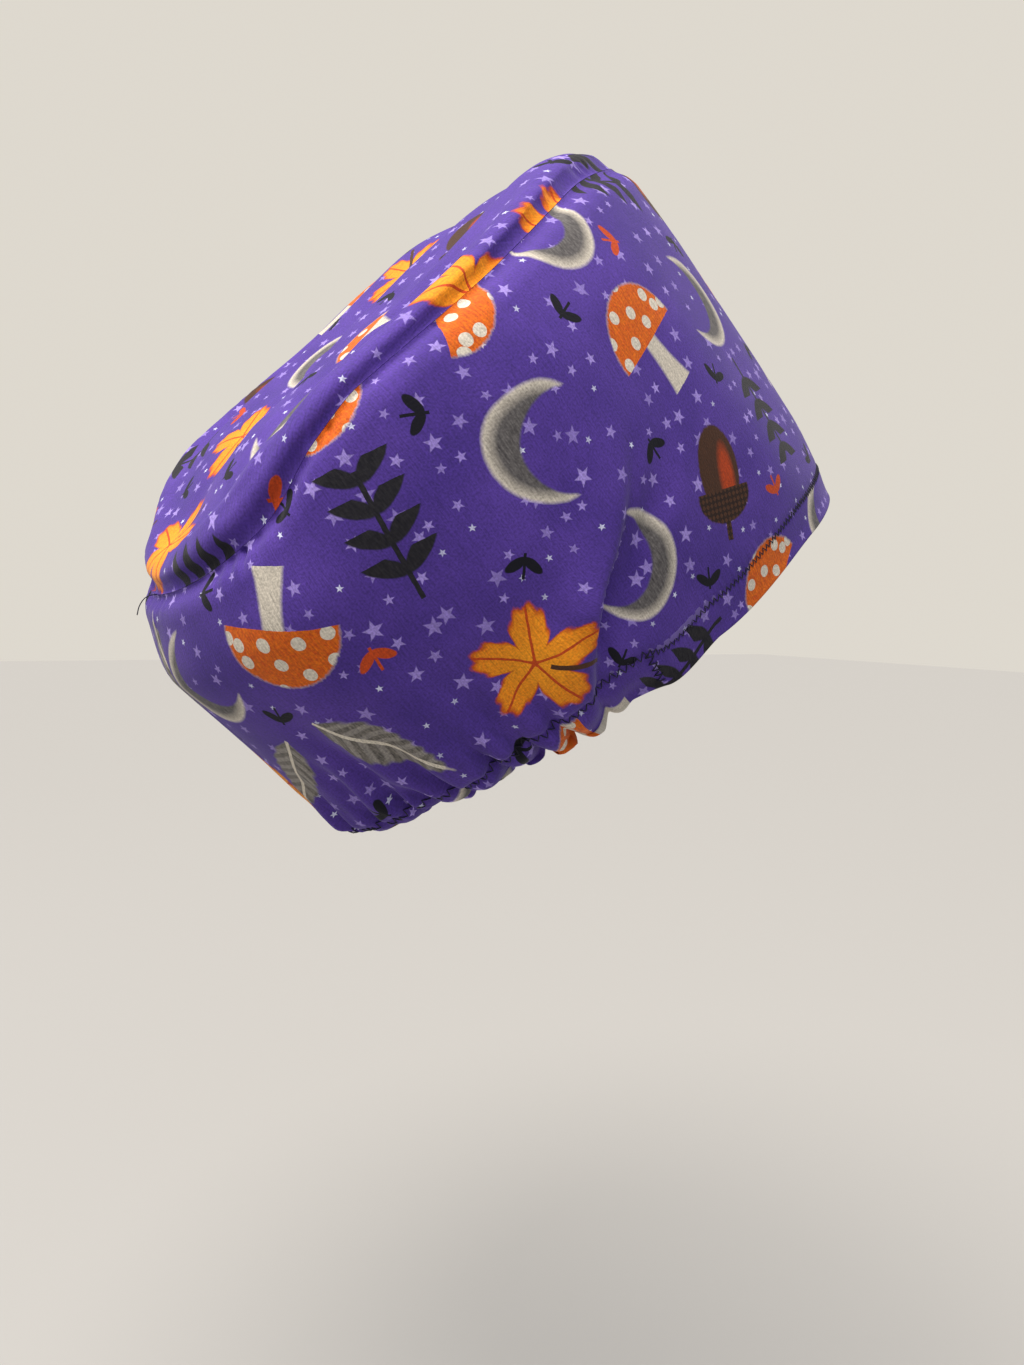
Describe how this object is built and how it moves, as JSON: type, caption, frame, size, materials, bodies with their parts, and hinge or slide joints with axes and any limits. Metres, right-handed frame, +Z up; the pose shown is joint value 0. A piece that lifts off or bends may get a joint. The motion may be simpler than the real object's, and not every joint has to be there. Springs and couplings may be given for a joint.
{
  "type": "scrub cap",
  "caption": "Slouching gathered scrub cap: a long crown panel on a deep side band with a folded hem and an elastic tape behind the ears.",
  "frame": {"origin": "the middle of the head opening, level with the rim above the ears, where the wearer's head sits", "axes": "+Z up out of the crown of the head, -Y the way the wearer faces, +X to the wearer's left"},
  "size_m": [0.1864, 0.2555, 0.2313],
  "materials": {
    "printed_cotton": "plain-weave printed cotton, purple ground",
    "elastic": "white woven elastic",
    "thread": "dark sewing thread"
  },
  "bodies": {
    "root": {"crown_panel": "printed_cotton", "side_band": "printed_cotton", "elastic_tape": "elastic"}
  },
  "joints": []
}
